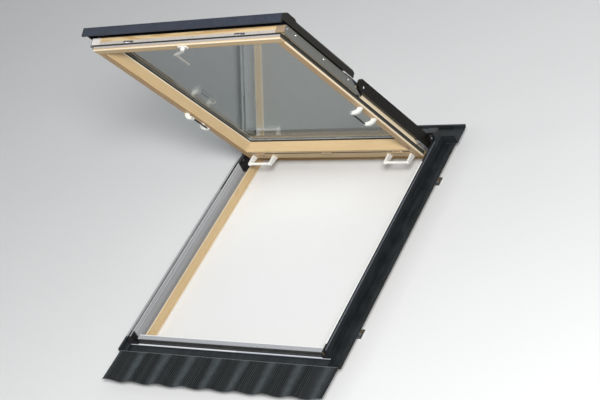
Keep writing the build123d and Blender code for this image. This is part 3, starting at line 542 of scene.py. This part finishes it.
materials = {
    "blue_grey": painted("blue_grey_paint", (0.031, 0.038, 0.055), 0.38, tilted=True),
    "dark": painted("dark_paint", (0.031, 0.034, 0.037), 0.38, gloss=0.35),
    "dark_tilted": painted("dark_sash_paint", (0.023, 0.021, 0.018), 0.38, tilted=True),
    "arm": painted("glossy_arm_paint", (0.008, 0.007, 0.005), 0.28, coat=0.06, tilted=True, streaks=0.05),
    "flashing": painted("flashing_paint", (0.015, 0.018, 0.020), 0.42, streaks=0.22),
    "tan": painted("tan_hinge_paint", (0.42, 0.30, 0.17), 0.35, tilted=True, gloss=0.5),
    "cream": painted("cream_strip_paint", (0.53, 0.495, 0.460), 0.30, tilted=True, streaks=0.05, gloss=0.5),
    "apron": pleated_sheet("apron_paint", (0.024, 0.028, 0.030)),
    "lining": lined_sheet("light_lining_paint", (0.40, 0.41, 0.425)),
    "sill_edge": zoned_paint("sill_cover_paint", (0.016, 0.020, 0.032), sill_zones),
    "side_edge": zoned_paint("side_cover_paint", (0.022, 0.024, 0.027), side_cover_zones),
    "rubber_lip_highlight": zoned_paint("channel_rubber", rubber_black, rubber_zones, 0.6),
    "sill_lining": zoned_paint("sill_lining_paint", (0.40, 0.41, 0.43), sill_lining_zones, 0.34),
    "plate": split_paint("grey_plate_paint", "Z", plate_edge, plate_grey, (0.015, 0.015, 0.015)),
    "seal": split_paint("seal_rubber", "side", seal_side, seal_lilac, seal_shade_black, 0.7),
    "pin_end": split_paint("pivot_pin_paint", "side", pin_face, rubber_black, pin_bright, 0.3, 0.5),
    "keep": split_paint("keep_plastic", "X", window_middle, keep_white, keep_shade_tan, 0.35, 0.4),
    "black": rubber("black_rubber", black),
    "glazing": glazing_rubber("glazing_rubber"),
    "casting": moulded("black_casting", (0.014, 0.014, 0.016), 0.48, 420.0, 0.25),
    "white": moulded("white_plastic", (0.78, 0.78, 0.745), 0.28),
    "grey_plastic": moulded("grey_lever_plastic", (0.40, 0.40, 0.375), 0.32),
    "black_plastic": moulded("black_plastic", (0.018, 0.018, 0.020), 0.30),
    "zinc": plated("bright_zinc", (0.74, 0.75, 0.77), 0.28),
    "spacer": plated("spacer_metal", (0.55, 0.56, 0.57), 0.34, tilted=True, brushed=True),
    "glass": window_glass("clear_glass"),
}

# The carried nodes that wear each finish
dressed = {
    "lining": ("side_liner_right", "side_liner_left", "channel_linings"),
    "sill_lining": ("sill_liner",),
    "rubber_lip_highlight": ("channel_gaskets",),
    "black": ("sill_gasket", "sash_gasket"),
    "glazing": ("glazing_gaskets",),
    "seal": ("sash_seal",),
    "black_plastic": ("grab_handle_bars",),
    "sill_edge": ("sill_cover",),
    "blue_grey": ("sash_bottom_cover", "sash_upper_covers"),
    "side_edge": ("side_cover_right", "side_cover_left"),
    "dark": ("head_hood", "corner_caps"),
    "dark_tilted": ("sash_side_cover_right", "sash_side_cover_left", "cover_end_caps"),
    "casting": ("corner_blocks", "hinge_housing_right", "hinge_housing_left"),
    "arm": ("arm_right", "arm_left"),
    "zinc": ("hinge_pins", "arm_hinge_plates", "lock_keeps", "lock_rod", "fixing_brackets"),
    "pin_end": ("pivot_pins",),
    "flashing": ("side_gutter_right", "side_gutter_left", "head_flashing", "apron_strip"),
    "apron": ("pleated_apron",),
    "glass": ("inner_pane", "outer_pane"),
    "spacer": ("pane_spacer",),
    "plate": ("side_plate_right", "side_plate_left"),
    "cream": ("lock_strip",),
    "keep": ("corner_keeps",),
    "white": (
        "grab_handle_right", "grab_handle_left", "flap_handle_right", "flap_handle_left", "handle_base",
    ),
    "grey_plastic": ("handle_lever",),
    "tan": ("flap_hinge_leaves", "flap_leaves"),
}

# Wooden nodes: whether the grain runs along X, and whether they belong to the swung sash
wooden = {
    "frame_side_right": (False, False), "frame_side_left": (False, False),
    "frame_head": (True, False), "frame_sill": (True, False),
    "sash_stile_right": (False, True), "sash_stile_left": (False, True),
    "sash_top_rail": (True, True), "sash_bottom_rail": (True, True), "ventilation_flap": (True, True),
}

# Lines on the wood, painted highlights along edges and painted shade on flats, steps and gaps: axis of the
# closed window, middle, half width, colour and strength
stile_low = lowest("sash_stile_right", tilted=True)
stile_high = highest("sash_stile_right", tilted=True)
stile_shoulder = highest("sash_top_rail", tilted=True).x
# Stiles: painted shadow at the step, painted highlights on both edges and painted shade over the flat
stile_lines = [
    ("side", stile_shoulder + 0.0005, 0.0011, groove_shadow_brown, 0.8),
    ("side", stile_low.x + 0.0030, 0.0022, highlight_pale, 0.8),
    ("side", stile_high.x - 0.0190, 0.0135, flat_shade_brown, 0.55),
    ("side", stile_high.x - 0.0012, 0.0022, highlight_cream, 0.9),
]
frame_foot = lowest("frame_side_right").z
# Painted highlights along the top and bottom edges of the frame's wood
frame_side_lines = [
    ("Z", ledge - 0.0015, 0.0014, highlight_pale, 0.8),
    ("Z", frame_foot + 0.0018, 0.0018, highlight_pale, 0.8),
]
rail_low = lowest("sash_bottom_rail", tilted=True)
rail_high = highest("sash_bottom_rail", tilted=True)
# Bottom rail: painted shadow at the step and painted highlights on the slope's edge and the outer edge
bottom_rail_lines = [
    ("Y", stile_low.y + 0.0005, 0.0011, groove_shadow_brown, 0.8),
    ("Y", rail_high.y - 0.0030, 0.0022, highlight_pale, 0.8),
    ("Y", rail_low.y + 0.0032, 0.0018, highlight_pale, 0.9),
]
flap_edge = lowest("ventilation_flap", tilted=True).y
wood_lines = {
    "sash_stile_right": stile_lines, "sash_stile_left": stile_lines,
    "frame_side_right": frame_side_lines, "frame_side_left": frame_side_lines,
    "sash_bottom_rail": bottom_rail_lines,
    # Painted shadow on both sides of the gap between the top rail and the flap
    "sash_top_rail": [("Y", flap_edge - 0.0080, 0.0012, gap_shadow_black, 0.9)],
    "ventilation_flap": [("Y", flap_edge, 0.0012, gap_shadow_black, 0.9)],
}


def dress(name, material):
    mesh = nodes[name].data
    mesh.materials.clear()
    mesh.materials.append(material)


for key, names in dressed.items():
    for name in names:
        dress(name, materials[key])
for seed, (name, (along_x, tilted)) in enumerate(wooden.items()):
    low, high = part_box(name)
    centre = (Vector(low) + Vector(high)) / 2
    dress(name, pine(name, centre, along_x, tilted, seed, wood_lines.get(name, ())))


# Screws

def turned_mesh(name, profile, segments):
    """A mesh turned about Z from (radius, height) points, closed where the radius is nought."""
    shape = bmesh.new()
    angles = [2 * pi * i / segments for i in range(segments)]
    rings = []
    for radius, height in profile:
        if radius == 0:
            rings.append([shape.verts.new((0, 0, height))])
        else:
            rings.append([shape.verts.new((radius * cos(a), radius * sin(a), height)) for a in angles])
    for lower, upper in zip(rings, rings[1:]):
        for i in range(segments):
            j = (i + 1) % segments
            if len(lower) == 1:
                shape.faces.new((lower[0], upper[i], upper[j]))
            elif len(upper) == 1:
                shape.faces.new((lower[i], lower[j], upper[0]))
            else:
                shape.faces.new((lower[i], lower[j], upper[j], upper[i]))
    bmesh.ops.recalc_face_normals(shape, faces=shape.faces)
    mesh = bpy.data.meshes.new(name)
    shape.to_mesh(mesh)
    shape.free()
    return mesh


def shown(name, mesh):
    """A new object with a mesh, in the scene."""
    made = bpy.data.objects.new(name, mesh)
    bpy.context.scene.collection.objects.link(made)
    return made


def screw_mesh(radius):
    """Pan head with a cross recess, its seat at the origin and its head along Z."""
    height = radius * 0.62
    seat = -0.0004
    profile = [
        (0, seat), (radius, seat), (radius, height * 0.35), (radius * 0.86, height * 0.75),
        (radius * 0.5, height * 0.97), (0, height),
    ]
    head = shown("head", turned_mesh("screw_head", profile, 24))
    slot_length = 1.15 * radius
    slot_width = 0.28 * radius
    cross = bmesh.new()
    for long, wide in ((slot_length, slot_width), (slot_width, slot_length)):
        box = bmesh.ops.create_cube(cross, size=1.0)
        size = Matrix.Diagonal((long, wide, height, 1))
        lift = Matrix.Translation((0, 0, height * 0.95))
        bmesh.ops.transform(cross, matrix=lift @ size, verts=box["verts"])
    cross_mesh = bpy.data.meshes.new("cross")
    cross.to_mesh(cross_mesh)
    cross.free()
    tool = shown("cross", cross_mesh)
    cut = head.modifiers.new("cross", "BOOLEAN")
    cut.operation = "DIFFERENCE"
    cut.solver = "EXACT"
    cut.use_self = True
    cut.object = tool
    bpy.context.view_layer.update()
    cut_head = head.evaluated_get(bpy.context.evaluated_depsgraph_get())
    mesh = bpy.data.meshes.new_from_object(cut_head)
    bpy.data.objects.remove(head)
    bpy.data.objects.remove(tool)
    return mesh


large_head = screw_mesh(radius=0.0052)
small_head = screw_mesh(radius=0.0034)


def screw(name, body, spot, facing, head=small_head, tilted=True, spin=0.4):
    """A screw at a spot of the closed window, swung out with the sash where tilted is true."""
    facing_turn = Vector(facing).to_track_quat("Z", "Y").to_matrix().to_4x4()
    place = Matrix.Translation(spot) @ facing_turn
    if tilted:
        place = swing @ place
    mesh = head.copy()
    for face in mesh.polygons:
        face.use_smooth = False
    mesh.materials.clear()
    mesh.materials.append(materials["zinc"])
    piece = shown(name, mesh)
    piece.matrix_world = place @ Matrix.Rotation(spin, 4, "Z")
    bpy.context.view_layer.update()
    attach(piece, body)


def plate_screws(side, way):
    """Four screws in the side plate, their heads let in a little."""
    low = lowest("side_plate_right", tilted=True)
    outer = highest("side_plate_right", tilted=True).x
    sunk = 0.0011
    for number, step in enumerate((0.015, 0.079, 0.313, 0.523)):
        spot = (way * (outer - sunk), low.y + step, low.z + 0.0295)
        screw(f"plate_screw_{side}_{number}", "sash", spot, (way, 0, 0), large_head, spin=0.5 * number)


def bracket_screws(side, way):
    """Two screws in each fixing bracket, whose sheet lies on the outside of the frame."""
    corner = highest("fixing_brackets")
    sheet = 0.003
    half_width = 0.027
    half_pitch = 0.018
    x = way * (highest("frame_side_right").x + sheet)
    middle = corner.y - half_width
    for number, y in enumerate((-middle, middle)):
        for step in (-half_pitch, half_pitch):
            name = f"bracket_screw_{side}_{number}_{int(step > 0)}"
            spot = (x, y + step, corner.z - 0.024)
            screw(name, "frame", spot, (way, 0, 0), large_head, tilted=False)


def housing_screws(side, way):
    """Three screws on the inner side of the hinge housing, clear of the arm when it is shut."""
    low = lowest("hinge_housing_right")
    recess = 0.0213
    for number, step in enumerate((0.044, 0.080, 0.152)):
        spot = (way * (low.x + recess), low.y + step, low.z + 0.044)
        screw(f"housing_screw_{side}_{number}", "frame", spot, (-way, 0, 0), tilted=False, spin=0.3 * number)


def keep_screws(side):
    """Two screws in the lock keep on the sill."""
    low = lowest("lock_keeps")
    width = 0.072
    start = highest("lock_keeps").x - width if side == "right" else low.x
    for number, step in enumerate((0.010, 0.028)):
        spot = (start + step, low.y + 0.0015, low.z + 0.0075)
        screw(f"keep_screw_{side}_{number}", "frame", spot, (0, 1, 0), tilted=False)


def base_screws():
    """Two screws in the handle's base, which faces the room."""
    low = lowest("handle_base", tilted=True)
    high = highest("handle_base", tilted=True)
    middle = (low + high) / 2
    half_pitch = 0.017
    for number, step in enumerate((-half_pitch, half_pitch)):
        spot = (middle.x + step, middle.y + 0.0005, high.z - 0.005)
        screw(f"base_screw_{number}", "sash", spot, (0, 0, -1))


def leaf_screws():
    """Two screws in each hinge leaf of the flap; names count millimetres from 500 left of the middle."""
    end_hinge = highest("ventilation_flap", tilted=True).x - 0.0615
    fixed_y = lowest("flap_hinge_leaves", tilted=True).y + 0.006
    moving_y = highest("flap_leaves", tilted=True).y - 0.005
    face = highest("flap_leaves", tilted=True).z - 0.0015
    half_pitch = 0.022
    for hinge_x in (-end_hinge, window_middle, end_hinge):
        for step in (-half_pitch, half_pitch):
            tag = f"{int(1000 * hinge_x + 500)}_{int(step > 0)}"
            screw(f"fixed_leaf_screw_{tag}", "sash", (hinge_x + step, fixed_y, face), (0, 0, -1))
            screw(f"moving_leaf_screw_{tag}", "flap", (hinge_x + step, moving_y, face), (0, 0, -1))


for side, way in (("right", 1), ("left", -1)):
    plate_screws(side, way)
    bracket_screws(side, way)
    housing_screws(side, way)
    keep_screws(side)
base_screws()
leaf_screws()


# Softened edges on the wood, plastic and sheet

def soften(names, width, segments):
    for name in names:
        edge = nodes[name].modifiers.new("soft_edges", "BEVEL")
        edge.width = width
        edge.segments = segments
        edge.limit_method = "ANGLE"
        edge.angle_limit = radians(35)
        edge.use_clamp_overlap = True


soften(wooden, width=0.0011, segments=2)
soften(dressed["white"] + dressed["grey_plastic"], width=0.0015, segments=3)
soften(dressed["keep"] + dressed["cream"], width=0.0006, segments=2)
sheet_covers = (
    "sash_bottom_cover", "sash_side_cover_right", "sash_side_cover_left", "side_cover_right",
    "side_cover_left", "sill_cover", "hinge_housing_right", "hinge_housing_left",
)
soften(sheet_covers, width=0.0005, segments=1)


# Floor, light and camera

def stage_floor():
    """A plain pale floor, darker to every ray but the camera's, so that it throws little light up."""
    half = 30.0
    level = -0.002
    mesh = bpy.data.meshes.new("floor")
    corners = [(-half, -half, level), (half, -half, level), (half, half, level), (-half, half, level)]
    mesh.from_pydata(corners, [], [(0, 1, 2, 3)])
    floor = shown("floor", mesh)
    made, tree, shader = new_material("pale_floor")
    tone = noise(tree, local(tree), 0.7, 2.0)
    pale = ramp(tree, tone, (0.3, (0.78, 0.78, 0.775)), (0.7, (0.80, 0.80, 0.795)))
    seen = node(tree, "LightPath").outputs["Is Camera Ray"]
    tree.links.new(mixed(tree, seen, (0.30, 0.30, 0.30), pale), shader.inputs["Base Color"])
    shader.inputs["Roughness"].default_value = 0.85
    mesh.materials.append(made)


def studio_world():
    """A pale surround for the eye, its mirrors and the glass, and a dim even light for the rest."""
    world = bpy.data.worlds.new("studio")
    world.use_nodes = True
    bpy.context.scene.world = world
    tree = world.node_tree
    tree.nodes.clear()
    path = node(tree, "LightPath").outputs
    seen = maths(tree, "MAXIMUM", path["Is Camera Ray"], path["Is Glossy Ray"])
    seen = maths(tree, "MAXIMUM", seen, path["Is Transmission Ray"])
    plain = node(tree, "Background", {"Color": (0.80, 0.81, 0.82, 1), "Strength": 1.0})
    soft = node(tree, "Background", {"Color": (0.90, 0.94, 1.0, 1), "Strength": 0.20})
    both = node(tree, "MixShader", {0: seen, 1: soft.outputs[0], 2: plain.outputs[0]})
    tree.links.new(both.outputs[0], node(tree, "OutputWorld").inputs["Surface"])


def softbox(name, spot, target, size, power):
    lamp = bpy.data.lights.new(name, "AREA")
    lamp.shape = "RECTANGLE"
    lamp.size, lamp.size_y = size
    lamp.energy = power
    aim = (Vector(target) - Vector(spot)).to_track_quat("-Z", "Y").to_matrix().to_4x4()
    shown(name, lamp).matrix_world = Matrix.Translation(spot) @ aim


def photo_camera():
    """The photograph's viewpoint, found from the lines of the frame and the sash."""
    viewpoint = (4.2487, -4.2103, 4.5087)
    focal_pixels = 1541.7
    image_width = 600.0
    horizon_rise = 13.3
    right = Vector((0.8248, 0.4066, -0.3929)).normalized()
    up = Vector((0.0, 0.6949, 0.7191))
    up = (up - right * up.dot(right)).normalized()
    turn = Matrix((right, up, right.cross(up))).transposed().to_4x4()
    data = bpy.data.cameras.new("photo_camera")
    data.sensor_width = 36.0
    data.sensor_fit = "HORIZONTAL"
    data.lens = focal_pixels / image_width * data.sensor_width
    data.shift_y = -horizon_rise / image_width
    data.clip_end = 200.0
    camera = shown("photo_camera", data)
    camera.matrix_world = Matrix.Translation(viewpoint) @ turn
    bpy.context.scene.camera = camera


stage_floor()
studio_world()
softbox("key", spot=(5.4, -4.6, 6.6), target=(0, 0, 0.5), size=(2.2, 2.2), power=1020.0)
softbox("fill", spot=(-4.1, -5.75, 1.0), target=(0, -0.1, 1.2), size=(2.0, 0.3), power=34.0)
softbox("sky", spot=(-4.8, -4.0, 5.5), target=(0, 0, 0.5), size=(1.6, 0.5), power=35.0)
photo_camera()
bpy.context.scene.view_settings.view_transform = "Standard"
